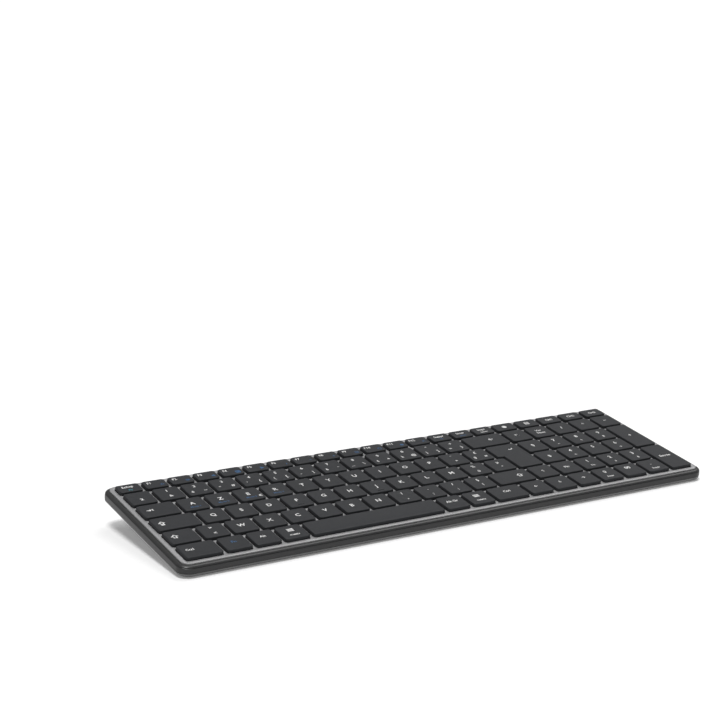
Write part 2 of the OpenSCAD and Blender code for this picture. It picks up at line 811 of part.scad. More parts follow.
module bottom_cover() {
    tongue_root = (z_floor_top + z_tray_top) / 2;
    color("#3f4144") {
        hollow_ribs();
        difference() {
            union() {
                round_the_deck(tray_section(-deck_corner));
                block_of(centred(deck_w - 2 * deck_corner, deck_d - 2 * deck_corner), z_bottom, z_tray_top);
                deck_slab(tongue_out, tongue_root, tongue_top);
                ridge();
            }
            deck_slab(tongue_in, z_floor_top, tongue_top + over);
            block_of(
                [-hollow_w / 2, hollow_front, hollow_w, hollow_back - hollow_front],
                z_hollow, z_floor_top + over
            );
            for (side = [-1, 1])
                foot_pocket(side * foot_x);
            screw_holes(screw_r + screw_play, z_bottom - over, z_floor_top + over);
            screw_holes(screw_head_r + head_play, z_bottom - over, z_bottom + head_sink + screw_head_h);
            translate([socket_x, ridge_back + over, z_socket])
                rotate([90, 0, 0])
                    linear_extrude(ridge_wall + 2 * over)
                        socket_outline(socket_play);
            translate([slider_x, ridge_back, z_socket])
                cube([slider_slot[0], 2 * (ridge_wall + over), slider_slot[1]], center = true);
        }
    }
}

module battery_cell() {
    cell_corner = 1.5;
    mid = [cell_x, (hollow_front + hollow_back) / 2];
    color("#b9bcc0")
        slab_of(
            [for (p = softened(corners(centred(cell_l, cell_d)), cell_corner)) p + mid],
            z_hollow, z_hollow + cell_t
        );
}

// A flat part on the board, with its middle at [x, y]
module chip(x, y, w, d, h) {
    block_of([x - w / 2, y - d / 2, w, d], z_board_top - eps, z_board_top + h);
}

module main_board() {
    rest_w = 4;
    hole_inset = 4;
    color("#2f5d46") {
        difference() {
            block_of([board_x - board_l / 2, board_back - cell_d, board_l, cell_d], z_board, z_board_top);
            translate([board_x + board_l / 2 - hole_inset, board_back - hole_inset, z_board - over])
                cylinder(h = board_t + 2 * over, r = screw_r + thread_play);
        }
        for (x = [board_x - board_l / 2 + rest_w, board_x + board_l / 2 - 2 * rest_w])
            block_of([x, board_back - cell_d + rest_w / 2, rest_w, rest_w], z_hollow, z_board + eps);
    }
    color("#1c1d1f") {
        chip(board_x - 8.5, board_back - 10.5, 7, 7, 0.9); // controller
        chip(board_x + 24.5, board_back - 12.5, 5, 5, 0.8); // radio
        chip(tail_x, tail_y - 0.8, 16, 1, 1.8); // connector that holds the membrane's tail
        chip(slider_x, board_back - 2.4, 8.8, 2.4, 2.6); // switch under the slider
    }
}

// The socket's shell, open towards the back, with a flat tongue in its middle
module usb_socket() {
    mouth_sink = 0.4;
    sheet = 0.3;
    back_t = 0.5;
    tongue_w = 6.6;
    tongue_d = 0.7;
    tongue_inset = 0.6;
    color("#aeb0b3")
        translate([socket_x, ridge_back - mouth_sink, z_socket])
            rotate([90, 0, 0]) {
                difference() {
                    linear_extrude(socket_d)
                        socket_outline(0);
                    translate([0, 0, -over])
                        linear_extrude(socket_d - back_t + over)
                            socket_outline(-sheet);
                }
                block_of(centred(tongue_w, tongue_d), tongue_inset, socket_d - back_t / 2);
            }
}

// The knob reaches out through its slot, and its flange lies behind the ridge's back wall
module power_slider() {
    knob_proud = 0.9;
    flange_reach = 0.8;
    flange_lip = 0.5;
    flange_t = 0.8;
    flange_air = 0.1;
    grip_d = 0.3;
    grip_w = slider_w / 9;
    grip_step = slider_w / 3;
    flange_y = hollow_back - flange_air - flange_t;
    color("#2a2b2d")
        translate([slider_x - slider_travel / 2, 0, 0]) {
            block_of(
                [-slider_w / 2, flange_y, slider_w, ridge_back + knob_proud - grip_d - flange_y],
                z_socket - slider_h / 2, z_socket + slider_h / 2
            );
            block_of(
                [-slider_w / 2 - flange_reach, flange_y, slider_w + 2 * flange_reach, flange_t],
                z_socket - slider_h / 2 - flange_lip, z_socket + slider_h / 2 + flange_lip
            );
            for (i = [-1:1])
                block_of(
                    [i * grip_step - grip_w / 2, ridge_back, grip_w, knob_proud],
                    z_socket - slider_h / 2, z_socket + slider_h / 2
                );
        }
}

module front_pads() {
    color("#1d1e1f")
        for (side = [-1, 1])
            translate([side * foot_x - pad_w / 2, 0, 0])
                rotate([90, 0, 90])
                    linear_extrude(pad_w)
                        polygon([
                            [pad_front, z_bottom],
                            [pad_front, table_z(pad_front)],
                            [pad_front + pad_d, table_z(pad_front + pad_d)],
                            [pad_front + pad_d, z_bottom]
                        ]);
}

module case_screws() {
    recess_w = 0.5;
    recess_d = 0.3;
    end_air = 0.4; // between a screw's end and the guide frame's plate
    color("#8d8f92")
        for (at = screw_points)
            translate([at.x, at.y, z_bottom + head_sink]) {
                difference() {
                    cylinder(h = screw_head_h, r = screw_head_r);
                    for (turn = [0, 90])
                        rotate([0, 0, turn])
                            cube([2 * screw_r, recess_w, 2 * recess_d], center = true);
                }
                translate([0, 0, screw_head_h - eps])
                    cylinder(h = z_guide - end_air - z_bottom - screw_head_h, r = screw_r);
            }
}

// A foot folded out: it turns about its two pins, and its heel rests on the pocket's back wall
module foot(x) {
    heel = foot_t / 2;
    leg = hinge_z - z_foot_end;
    pins_l = foot_w + 2 * (foot_play + foot_pin_l - pin_air);
    recess_t = 0.8;
    recess_inset = 2.5;
    recess_wall = 3;
    recess_l = leg - 2 * recess_inset;
    recess_drop = 0.4;
    color("#35373a")
        translate([x, hinge_y, 0])
            rotate([90, 0, 90]) {
                difference() {
                    linear_extrude(foot_w, center = true)
                        union() {
                            translate([0, hinge_z])
                                circle(heel);
                            polygon([
                                [-heel, hinge_z],
                                [-heel, z_foot_end + heel * tan(tilt)],
                                [heel, z_foot_end - heel * tan(tilt)],
                                [heel, hinge_z]
                            ]);
                        }
                    translate([-heel, (hinge_z + z_foot_end) / 2 - recess_drop, 0])
                        cube([2 * recess_t, recess_l, foot_w - 2 * recess_wall], center = true);
                }
                translate([0, hinge_z, 0])
                    cylinder(h = pins_l, r = foot_pin_r, center = true);
            }
}

module foot_pad(x) {
    heel = foot_t / 2;
    color("#1d1e1f")
        translate([x, hinge_y, 0])
            rotate([90, 0, 90])
                linear_extrude(foot_w - 1, center = true)
                    polygon([
                        [-heel, z_foot_end + heel * tan(tilt)],
                        [-heel, table_z(hinge_y - heel)],
                        [heel, table_z(hinge_y + heel)],
                        [heel, z_foot_end - heel * tan(tilt)]
                    ]);
}

module left_foot() {
    foot(-foot_x);
}

module right_foot() {
    foot(foot_x);
}

module left_foot_pad() {
    foot_pad(-foot_x);
}

module right_foot_pad() {
    foot_pad(foot_x);
}

// A quarter bend of the wire, about the given middle
module wire_corner(x, y, turn) {
    translate([x, y, 0])
        rotate([0, 0, turn])
            rotate_extrude(angle = 90)
                translate([wire_bend, 0])
                    circle(wire_r);
}

// The bent wire: its ends turn in the guide frame's clips, and its long bar lifts with the space bar
module space_bar_wire() {
    bar_half = wire_half - wire_bend;
    color("#b5b7ba")
        translate([space_mid.x, wire_pivot[0], wire_pivot[1]])
            rotate([-wire_slope, 0, 0]) {
                translate([0, -wire_arm, 0])
                    rotate([0, 90, 0])
                        cylinder(h = 2 * bar_half, r = wire_r, center = true);
                for (side = [0, 1])
                    mirror([side, 0, 0]) {
                        wire_corner(bar_half, wire_bend - wire_arm, 270);
                        translate([wire_half, -wire_bend, 0])
                            rotate([90, 0, 0])
                                cylinder(h = wire_arm - 2 * wire_bend, r = wire_r);
                        wire_corner(wire_half + wire_bend, -wire_bend, 90);
                        translate([wire_half + wire_bend, 0, 0])
                            rotate([0, 90, 0])
                                cylinder(h = wire_end - wire_half - wire_bend, r = wire_r);
                    }
            }
}

on_table() top_case();
on_table() deck_plate();
on_table() guide_frame();
on_table() dome_sheet();
on_table() membrane();
on_table() base_plate();
on_table() bottom_cover();
on_table() battery_cell();
on_table() main_board();
on_table() usb_socket();
on_table() front_pads();
on_table() case_screws();
on_table() left_foot();
on_table() right_foot();
on_table() left_foot_pad();
on_table() right_foot_pad();
on_table() power_slider();
on_table() space_bar_wire();
for (set = key_sets)
    on_table() key_set(set);
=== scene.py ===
import json
import math
import bmesh
import bpy
from mathutils import Matrix, Vector

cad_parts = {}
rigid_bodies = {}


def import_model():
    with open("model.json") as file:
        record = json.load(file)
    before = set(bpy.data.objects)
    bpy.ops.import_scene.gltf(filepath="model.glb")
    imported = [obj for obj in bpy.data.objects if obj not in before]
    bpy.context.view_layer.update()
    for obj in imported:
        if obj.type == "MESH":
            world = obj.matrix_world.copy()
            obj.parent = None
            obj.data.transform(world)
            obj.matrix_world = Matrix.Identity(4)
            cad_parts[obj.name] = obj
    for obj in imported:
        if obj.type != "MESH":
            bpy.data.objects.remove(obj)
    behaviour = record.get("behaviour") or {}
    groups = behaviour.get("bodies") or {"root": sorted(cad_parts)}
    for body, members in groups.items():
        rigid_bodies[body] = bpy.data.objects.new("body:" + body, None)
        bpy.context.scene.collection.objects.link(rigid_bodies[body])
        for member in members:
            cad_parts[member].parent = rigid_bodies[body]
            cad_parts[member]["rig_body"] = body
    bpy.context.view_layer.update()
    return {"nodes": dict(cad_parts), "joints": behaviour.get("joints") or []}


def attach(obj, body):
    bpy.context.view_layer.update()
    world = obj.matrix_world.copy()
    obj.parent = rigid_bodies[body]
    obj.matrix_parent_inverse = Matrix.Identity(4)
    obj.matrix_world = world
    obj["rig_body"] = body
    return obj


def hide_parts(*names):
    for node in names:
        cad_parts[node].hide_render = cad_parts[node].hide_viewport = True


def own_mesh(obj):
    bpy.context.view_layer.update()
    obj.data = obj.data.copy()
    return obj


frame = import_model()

mm = 0.001
scene = bpy.context.scene
cadNodes = frame["nodes"]
print("frame loaded:", len(cadNodes), "nodes")

# The camera stands at the front left, a little above the keys
cameraView = {
    "azimuth": 30.2, "elevation": 12.99, "place": (-0.5882, -0.9282, 0.3532),
    "lens": 91.33, "sensor": 36, "near": 0.05, "far": 80,
}
cameraData = bpy.data.cameras.new("camera")
cameraData.lens = cameraView["lens"]
cameraData.sensor_width = cameraView["sensor"]
cameraData.clip_start = cameraView["near"]
cameraData.clip_end = cameraView["far"]
camera = bpy.data.objects.new("camera", cameraData)
camera.location = cameraView["place"]
camera.rotation_euler = (
    math.radians(90 - cameraView["elevation"]), 0, math.radians(-cameraView["azimuth"]),
)
scene.collection.objects.link(camera)
scene.camera = camera
scene.view_settings.view_transform = "Standard"

# A white table top under a softbox that hangs over it, with a second one at the back right
studio = {
    "floorSize": 60,
    "floorColour": (0.93, 0.93, 0.93),
    "floorSeen": (1, 1, 1),    # the floor's colour for the camera
    "floorLift": 0.2,          # glow that only the camera sees, so that the bare floor is white
    "worldLight": 0.2,
    "lamps": [
        # name, where it shines from, softness in degrees, strength
        ("overheadSoftbox", (-0.15, -0.1, 1.0), 20, 1.65),
        ("backSoftbox", (0.5, 0.33, 0.8), 38, 0.68),
    ],
}


def addNode(tree, kind, **settings):
    node = tree.nodes.new(kind)
    for name, value in settings.items():
        setattr(node, name, value)
    return node


def setInputs(node, **values):
    for name, value in values.items():
        node.inputs[name.replace("_", " ")].default_value = value


def emptyMaterial(name):
    material = bpy.data.materials.new(name)
    material.use_nodes = True
    material.node_tree.nodes.clear()
    output = addNode(material.node_tree, "ShaderNodeOutputMaterial")
    return material, material.node_tree, output


def makeFloor():
    bm = bmesh.new()
    bmesh.ops.create_grid(bm, x_segments=1, y_segments=1, size=studio["floorSize"] / 2)
    mesh = bpy.data.meshes.new("floor")
    bm.to_mesh(mesh)
    bm.free()
    floor = bpy.data.objects.new("floor", mesh)
    scene.collection.objects.link(floor)
    material, tree, output = emptyMaterial("whiteTable")
    path = addNode(tree, "ShaderNodeLightPath")
    colour = addNode(tree, "ShaderNodeMix", data_type="RGBA")
    colour.inputs["A"].default_value = (*studio["floorColour"], 1)
    colour.inputs["B"].default_value = (*studio["floorSeen"], 1)
    diffuse = addNode(tree, "ShaderNodeBsdfDiffuse")
    lift = addNode(tree, "ShaderNodeEmission")
    strength = addNode(tree, "ShaderNodeMath", operation="MULTIPLY")
    strength.inputs[1].default_value = studio["floorLift"]
    add = addNode(tree, "ShaderNodeAddShader")
    tree.links.new(path.outputs["Is Camera Ray"], colour.inputs["Factor"])
    tree.links.new(colour.outputs["Result"], diffuse.inputs["Color"])
    tree.links.new(path.outputs["Is Camera Ray"], strength.inputs[0])
    tree.links.new(strength.outputs[0], lift.inputs["Strength"])
    tree.links.new(diffuse.outputs[0], add.inputs[0])
    tree.links.new(lift.outputs[0], add.inputs[1])
    tree.links.new(add.outputs[0], output.inputs["Surface"])
    mesh.materials.append(material)


# The surroundings look white to the camera, and light the object less
def makeWorld():
    world = bpy.data.worlds.new("studio")
    world.use_nodes = True
    scene.world = world
    tree = world.node_tree
    tree.nodes.clear()
    output = addNode(tree, "ShaderNodeOutputWorld")
    background = addNode(tree, "ShaderNodeBackground")
    background.inputs["Color"].default_value = (1, 1, 1, 1)
    path = addNode(tree, "ShaderNodeLightPath")
    strength = addNode(tree, "ShaderNodeMix", data_type="FLOAT")
    strength.inputs["A"].default_value = studio["worldLight"]
    strength.inputs["B"].default_value = 1.0
    seen = addNode(tree, "ShaderNodeMath", operation="MAXIMUM")
    tree.links.new(path.outputs["Is Camera Ray"], seen.inputs[0])
    tree.links.new(path.outputs["Is Transmission Ray"], seen.inputs[1])
    tree.links.new(seen.outputs[0], strength.inputs["Factor"])
    tree.links.new(strength.outputs["Result"], background.inputs["Strength"])
    tree.links.new(background.outputs[0], output.inputs["Surface"])


def makeLamps():
    for name, place, softness, strength in studio["lamps"]:
        lampData = bpy.data.lights.new(name, "SUN")
        lampData.angle = math.radians(softness)
        lampData.energy = strength
        lamp = bpy.data.objects.new(name, lampData)
        lamp.location = place
        lamp.rotation_euler = (-Vector(place)).to_track_quat("-Z", "Y").to_euler()
        scene.collection.objects.link(lamp)


makeFloor()
makeWorld()
makeLamps()
print("camera, table and light ready")


# Effects that more than one finish shares
def addSocket(group, name, way, kind, default=None):
    socket = group.interface.new_socket(name, in_out=way, socket_type=kind)
    if default is not None:
        socket.default_value = default


def calculate(tree, operation, *values):
    node = addNode(tree, "ShaderNodeMath", operation=operation)
    for socket, value in zip(node.inputs, values):
        if isinstance(value, (int, float)):
            socket.default_value = value
        else:
            tree.links.new(value, socket)
    return node.outputs[0]


grainLook = {"grainDetail": 2.0, "grainRough": 0.6, "cloudDetail": 3.0, "cloudRough": 0.5}


# Fine moulded grain over soft clouds, which shift the tint and the gloss a little
def makeGrainGroup():
    group = bpy.data.node_groups.new("mouldedGrain", "ShaderNodeTree")
    addSocket(group, "Tint", "INPUT", "NodeSocketColor", (0.05, 0.05, 0.05, 1))
    addSocket(group, "Grain Scale", "INPUT", "NodeSocketFloat", 3000)
    addSocket(group, "Cloud Scale", "INPUT", "NodeSocketFloat", 60)
    addSocket(group, "Tint Spread", "INPUT", "NodeSocketFloat", 0.1)
    addSocket(group, "Rough", "INPUT", "NodeSocketFloat", 0.5)
    addSocket(group, "Rough Spread", "INPUT", "NodeSocketFloat", 0.1)
    addSocket(group, "Colour", "OUTPUT", "NodeSocketColor")
    addSocket(group, "Roughness", "OUTPUT", "NodeSocketFloat")
    addSocket(group, "Height", "OUTPUT", "NodeSocketFloat")
    inside = addNode(group, "NodeGroupInput")
    outside = addNode(group, "NodeGroupOutput")
    place = addNode(group, "ShaderNodeTexCoord")
    grain = addNode(group, "ShaderNodeTexNoise", noise_dimensions="3D")
    setInputs(grain, Detail=grainLook["grainDetail"], Roughness=grainLook["grainRough"])
    cloud = addNode(group, "ShaderNodeTexNoise", noise_dimensions="3D")
    setInputs(cloud, Detail=grainLook["cloudDetail"], Roughness=grainLook["cloudRough"])
    link = group.links.new
    link(place.outputs["Object"], grain.inputs["Vector"])
    link(place.outputs["Object"], cloud.inputs["Vector"])
    link(inside.outputs["Grain Scale"], grain.inputs["Scale"])
    link(inside.outputs["Cloud Scale"], cloud.inputs["Scale"])
    both = calculate(group, "ADD", grain.outputs["Fac"], cloud.outputs["Fac"])
    swing = calculate(group, "SUBTRACT", both, 1.0)
    shade = calculate(group, "MULTIPLY_ADD", swing, inside.outputs["Tint Spread"], 1.0)
    tinted = addNode(group, "ShaderNodeVectorMath", operation="SCALE")
    link(inside.outputs["Tint"], tinted.inputs[0])
    link(shade, tinted.inputs["Scale"])
    link(tinted.outputs["Vector"], outside.inputs["Colour"])
    rough = calculate(group, "MULTIPLY_ADD", swing, inside.outputs["Rough Spread"], inside.outputs["Rough"])
    link(rough, outside.inputs["Roughness"])
    link(grain.outputs["Fac"], outside.inputs["Height"])
    return group


grainGroup = makeGrainGroup()


def grainedFinish(name, finish):
    material, tree, output = emptyMaterial(name)
    shader = addNode(tree, "ShaderNodeBsdfPrincipled")
    shader.inputs["Metallic"].default_value = finish.get("metallic", 0)
    shader.inputs["Specular IOR Level"].default_value = finish.get("specular", 0.5)
    shader.inputs["Coat Weight"].default_value = finish.get("coat", 0)
    shader.inputs["Coat Roughness"].default_value = finish.get("coatRough", 0.1)
    grain = addNode(tree, "ShaderNodeGroup", node_tree=grainGroup)
    grain.inputs["Tint"].default_value = (*finish["colour"], 1)
    grain.inputs["Grain Scale"].default_value = 1 / (finish.get("grain", 0.3) * mm)
    grain.inputs["Cloud Scale"].default_value = 1 / (finish.get("cloud", 15) * mm)
    grain.inputs["Tint Spread"].default_value = finish.get("tintSpread", 0.15)
    grain.inputs["Rough"].default_value = finish["rough"]
    grain.inputs["Rough Spread"].default_value = finish.get("roughSpread", 0.1)
    bump = addNode(tree, "ShaderNodeBump")
    bump.inputs["Strength"].default_value = finish.get("bump", 0.3)
    bump.inputs["Distance"].default_value = finish.get("depth", 0.02) * mm
    link = tree.links.new
    link(grain.outputs["Colour"], shader.inputs["Base Color"])
    link(grain.outputs["Roughness"], shader.inputs["Roughness"])
    link(grain.outputs["Height"], bump.inputs["Height"])
    link(bump.outputs["Normal"], shader.inputs["Normal"])
    link(shader.outputs[0], output.inputs["Surface"])
    return material


# Grain and cloud are the sizes of those patterns in mm, and depth is the grain's depth in mm
finishes = {
    # The keys' dark grey is their own colour, but its slight blue cast is painted reflection of the cool
    # light that the key tops catch
    "keyPlasticBlueSheen": {"colour": (0.0325, 0.034, 0.0375), "rough": 0.5, "specular": 0.25, "grain": 0.3,
                   "tintSpread": 0.3, "bump": 0.5, "depth": 0.03},
    "deckPaint": {"colour": (0.42, 0.42, 0.425), "rough": 0.44, "metallic": 0.3, "grain": 0.25,
                  "tintSpread": 0.08, "bump": 0.3, "depth": 0.015},
    "casePlastic": {"colour": (0.043, 0.043, 0.0435), "rough": 0.31, "specular": 0.42, "grain": 0.35,
                    "bump": 0.3},
    # The cover is charcoal like the case but painted lighter: the extra lightness is painted reflection of
    # the white table on its lower edge, and the feet share it
    "coverPlasticTableSheen": {"colour": (0.125, 0.125, 0.127), "rough": 0.34, "coat": 1.0, "coatRough": 0.1,
                     "grain": 0.4, "bump": 0.4, "depth": 0.03},
    "guidePlastic": {"colour": (0.02, 0.02, 0.022), "rough": 0.5, "grain": 0.5},
    "domeRubber": {"colour": (0.6, 0.6, 0.57), "rough": 0.6, "grain": 0.5},
    "membraneFilm": {"colour": (0.35, 0.42, 0.46), "rough": 0.25, "grain": 1.0},
    "zincSheet": {"colour": (0.5, 0.5, 0.51), "rough": 0.35, "metallic": 1, "grain": 2.0},
    "pouchFoil": {"colour": (0.65, 0.66, 0.68), "rough": 0.3, "metallic": 1, "grain": 1.0},
    "boardMask": {"colour": (0.03, 0.13, 0.07), "rough": 0.3, "grain": 1.0},
    "drawnSteel": {"colour": (0.55, 0.55, 0.56), "rough": 0.28, "metallic": 1, "grain": 0.6},
    "padRubber": {"colour": (0.018, 0.018, 0.019), "rough": 0.75, "grain": 0.4, "bump": 0.6, "depth": 0.04},
    "knobPlastic": {"colour": (0.025, 0.025, 0.027), "rough": 0.45, "grain": 0.3},
    "springSteel": {"colour": (0.6, 0.6, 0.61), "rough": 0.25, "metallic": 1, "grain": 0.5},
    "whiteInk": {"colour": (0.9, 0.9, 0.89), "rough": 0.5, "grain": 0.2, "tintSpread": 0.05},
    "blueInk": {"colour": (0.03, 0.11, 0.25), "rough": 0.5, "grain": 0.2, "tintSpread": 0.05},
    "tealInk": {"colour": (0.06, 0.38, 0.46), "rough": 0.5, "grain": 0.2, "tintSpread": 0.05},
}
materials = {name: grainedFinish(name, finish) for name, finish in finishes.items()}
nodeFinishes = {
    "top_case": "casePlastic", "deck_plate": "deckPaint", "bottom_cover": "coverPlasticTableSheen",
    "guide_frame": "guidePlastic", "dome_sheet": "domeRubber", "membrane": "membraneFilm",
    "base_plate": "zincSheet", "battery_cell": "pouchFoil", "main_board": "boardMask",
    "usb_socket": "drawnSteel", "front_pads": "padRubber", "case_screws": "springSteel",
    "left_foot": "coverPlasticTableSheen", "right_foot": "coverPlasticTableSheen", "left_foot_pad": "padRubber",
    "right_foot_pad": "padRubber", "power_slider": "knobPlastic", "space_bar_wire": "springSteel",
}
for node, finish in nodeFinishes.items():
    mesh = cadNodes[node].data
    mesh.materials.clear()
    mesh.materials.append(materials[finish])
print("finishes mixed:", len(materials))


# The deck's own frame: x to the right, y to the back, z = 0 on the deck's top face, in mm
def deckPlace():
    normal = Vector(next(j["axis"] for j in frame["joints"] if j["name"] == "space_bar_press"))
    turn = Matrix.Rotation(math.atan2(-normal.y, normal.z), 4, "X")
    flat = [turn.inverted() @ v.co for v in cadNodes["deck_plate"].data.vertices]
    low = [min(p[i] for p in flat) for i in range(3)]
    high = [max(p[i] for p in flat) for i in range(3)]
    middle = Matrix.Translation(((low[0] + high[0]) / 2, (low[1] + high[1]) / 2, high[2]))
    size = [(high[i] - low[i]) / mm for i in range(3)]
    return turn @ middle @ Matrix.Scale(mm, 4), size


onDeck, deckSize = deckPlace()


def finishPiece(bm, name, finishNames, body, replaced=None, smoothUnder=35):
    mesh = bpy.data.meshes.new(name)
    bm.to_mesh(mesh)
    bm.free()
    for finish in finishNames:
        mesh.materials.append(materials[finish])
    mesh.shade_smooth()
    mesh.set_sharp_from_angle(angle=math.radians(smoothUnder))
    piece = bpy.data.objects.new(name, mesh)
    scene.collection.objects.link(piece)
    if replaced:
        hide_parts(replaced)
    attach(piece, body)
    return piece


def bevelEdges(bm, edges, offset, segments):
    bmesh.ops.bevel(bm, geom=list(edges), offset=offset, offset_type="OFFSET", segments=segments, profile=0.5,
                    affect="EDGES", clamp_overlap=True, material=-1)


def newVerts(result):
    return [item for item in result["geom"] if isinstance(item, bmesh.types.BMVert)]


# The key field, in key pitches but for the sizes in mm
keyField = {
    "pitch": 19.0, "functionDepth": 12.9, "functionKeys": 16, "rows": 5, "columns": 19.75,
    "mainColumns": 14.75, "gapX": 2.3, "gapY": 2.1,
}
keyField["functionWide"] = keyField["mainColumns"] / keyField["functionKeys"]
keyField["wide"] = keyField["columns"] * keyField["pitch"]
keyField["deep"] = keyField["functionDepth"] + keyField["rows"] * keyField["pitch"]


# A block is a key's row, its start, its width and the rows that it spans
def blockRect(row, start, wide, rows=1):
    pitch = keyField["pitch"]
    back = keyField["deep"] / 2
    if row > 0:
        back -= keyField["functionDepth"] + (row - 1) * pitch
    deep = keyField["functionDepth"] if row == 0 else rows * pitch
    left = start * pitch - keyField["wide"] / 2
    return (
        left + keyField["gapX"] / 2,
        back - deep + keyField["gapY"] / 2,
        left + wide * pitch - keyField["gapX"] / 2,
        back - keyField["gapY"] / 2,
    )


def centreOf(rect):
    return (rect[0] + rect[2]) / 2, (rect[1] + rect[3]) / 2


def keyStrip(row, start, count, wide=1, rows=1):
    return [[(row, start + i * wide, wide, rows)] for i in range(count)]


fWide = keyField["functionWide"]
main = keyField["mainColumns"]
number = main + 1
keySets = {
    "escape_key": keyStrip(0, 0, 1, fWide),
    "f1_f4_keys": keyStrip(0, fWide, 4, fWide),
    "f5_f8_keys": keyStrip(0, 5 * fWide, 4, fWide),
    "f9_f12_keys": keyStrip(0, 9 * fWide, 4, fWide),
    "edit_keys": keyStrip(0, 13 * fWide, 3, fWide),
    "shortcut_keys": keyStrip(0, main, 5),
    "left_digit_keys": keyStrip(1, 0, 7),
    "right_digit_keys": keyStrip(1, 7, 6),
    "backspace_key": keyStrip(1, 13, 1, 1.75),
    "home_key": keyStrip(1, main, 1),
    "operator_keys": keyStrip(1, number, 4),
    "tab_key": keyStrip(2, 0, 1, 1.375),
    "left_upper_keys": keyStrip(2, 1.375, 5),
    "right_upper_keys": keyStrip(2, 6.375, 7),
    "enter_key": [[(2, 13.375, 1.375, 1), (2, 13.625, 1.125, 2)]],
    "page_up_key": keyStrip(2, main, 1),
    "caps_lock_key": keyStrip(3, 0, 1, 1.625),
    "left_home_keys": keyStrip(3, 1.625, 5),
    "right_home_keys": keyStrip(3, 6.625, 7),
    "page_down_key": keyStrip(3, main, 1),
    "upper_number_keys": keyStrip(2, number, 3) + keyStrip(3, number, 3),
    "plus_key": keyStrip(2, number + 3, 1, 1, 2),
    "left_shift_key": keyStrip(4, 0, 1, 1.125),
    "left_lower_keys": keyStrip(4, 1.125, 5),
    "right_lower_keys": keyStrip(4, 6.125, 6),
    "right_shift_key": keyStrip(4, 12.125, 1, 1.625),
    "arrow_up_key": keyStrip(4, 13.75, 1),
    "end_key": keyStrip(4, main, 1),
    "lower_number_keys": keyStrip(4, number, 3) + keyStrip(5, number, 3),
    "number_enter_key": keyStrip(4, number + 3, 1, 1, 2),
    "left_ctrl_key": keyStrip(5, 0, 1, 1.375),
    "fn_key": keyStrip(5, 1.375, 1),
    "alt_key": keyStrip(5, 2.375, 1),
    "left_menu_key": keyStrip(5, 3.375, 1),
    "space_bar": keyStrip(5, 4.375, 1, 5),
    "alt_gr_key": keyStrip(5, 9.375, 1),
    "right_menu_key": keyStrip(5, 10.375, 1),
    "right_ctrl_key": keyStrip(5, 11.375, 1, 1.375),
    "arrow_left_key": keyStrip(5, 12.75, 1),
    "arrow_down_key": keyStrip(5, 13.75, 1),
    "arrow_right_key": keyStrip(5, main, 1),
}

keyCap = {
    "top": 2.0, "skirt": -0.2, "wall": 0.9, "roof": 1.0,
    "corner": 1.9, "cornerSteps": 6, "edge": 0.5, "edgeSteps": 4,
    "dish": 0.16, "dishReach": 4.5, "dishCuts": 4,
    "stemWide": 4.2, "stemWeb": 1.4, "stemFoot": -3.6, "hookReach": 0.5, "hookHigh": 0.5,
    "postShare": 0.3, "longKey": 1.7,
}
levelWithin = 1e-4    # heights closer than this, in mm, count as one


def keyOutline(key):
    left, front, right, back = blockRect(*key[0])
    if len(key) == 1:
        return [(left, front), (right, front), (right, back), (left, back)]
    stepLeft, low, _, _ = blockRect(*key[1])
    return [(left, front), (stepLeft, front), (stepLeft, low), (right, low), (right, back), (left, back)]


# How far the soft dish lies below the cap's edge: it grows from each side and is level in the middle
def dishDrop(key, x, y):
    level = 1
    for block in key:
        left, front, right, back = blockRect(*block)
        share = 1
        for inside in (min(x - left, right - x), min(y - front, back - y)):
            way = min(max((inside - keyCap["edge"]) / keyCap["dishReach"], 0), 1)
            share *= 1 - (1 - way) ** 2
        level *= 1 - share
    return keyCap["dish"] * (1 - level)


def capTop(key, x, y):
    return keyCap["top"] - dishDrop(key, x, y)


def boxAt(bm, x, y, z, wide, deep, high):
    size = Matrix.Diagonal((wide, deep, high, 1))
    return bmesh.ops.create_cube(bm, size=1, matrix=Matrix.Translation((x, y, z)) @ size)["verts"]


def faceAt(bm, height):
    level = [f for f in bm.faces if all(abs(v.co.z - height) < levelWithin for v in f.verts)]
    return max(level, key=lambda f: f.calc_area())


def pressDish(bm, key):
    cap = keyCap
    top = faceAt(bm, cap["top"])
    geom = [top, *top.edges, *top.verts]
    step = cap["dishReach"] / cap["dishCuts"]
    for block in key:
        left, front, right, back = blockRect(*block)
        for i in range(1, cap["dishCuts"] + 1):
            inside = cap["edge"] + i * step
            for place, way in (((left + inside, 0, 0), (1, 0, 0)), ((right - inside, 0, 0), (1, 0, 0)),
                               ((0, front + inside, 0), (0, 1, 0)), ((0, back - inside, 0), (0, 1, 0))):
                cut = bmesh.ops.bisect_plane(bm, geom=geom, dist=levelWithin, plane_co=place, plane_no=way)
                geom = cut["geom"]
    for v in {v for f in geom if isinstance(f, bmesh.types.BMFace) for v in f.verts}:
        v.co.z = capTop(key, v.co.x, v.co.y)


def capShell(key):
    cap = keyCap
    high = cap["top"] - cap["skirt"]
    bm = bmesh.new()
    floor = bm.faces.new([bm.verts.new((x, y, cap["skirt"])) for x, y in keyOutline(key)])
    raised = bmesh.ops.extrude_face_region(bm, geom=[floor])
    bmesh.ops.translate(bm, verts=newVerts(raised), vec=(0, 0, high))
    bmesh.ops.recalc_face_normals(bm, faces=bm.faces)
    uprights = [e for e in bm.edges if e.is_convex and abs(e.verts[0].co.z - e.verts[1].co.z) > high / 2]
    bevelEdges(bm, uprights, cap["corner"], cap["cornerSteps"])
    bevelEdges(bm, faceAt(bm, cap["top"]).edges, cap["edge"], cap["edgeSteps"])
    under = faceAt(bm, cap["skirt"])
    bmesh.ops.inset_region(bm, faces=[under], thickness=cap["wall"])
    hollow = bmesh.ops.extrude_face_region(bm, geom=[under])
    bmesh.ops.translate(bm, verts=newVerts(hollow), vec=(0, 0, high - cap["roof"]))
    if under.is_valid:
        bmesh.ops.delete(bm, geom=[under], context="FACES_ONLY")
    pressDish(bm, key)
    return bm


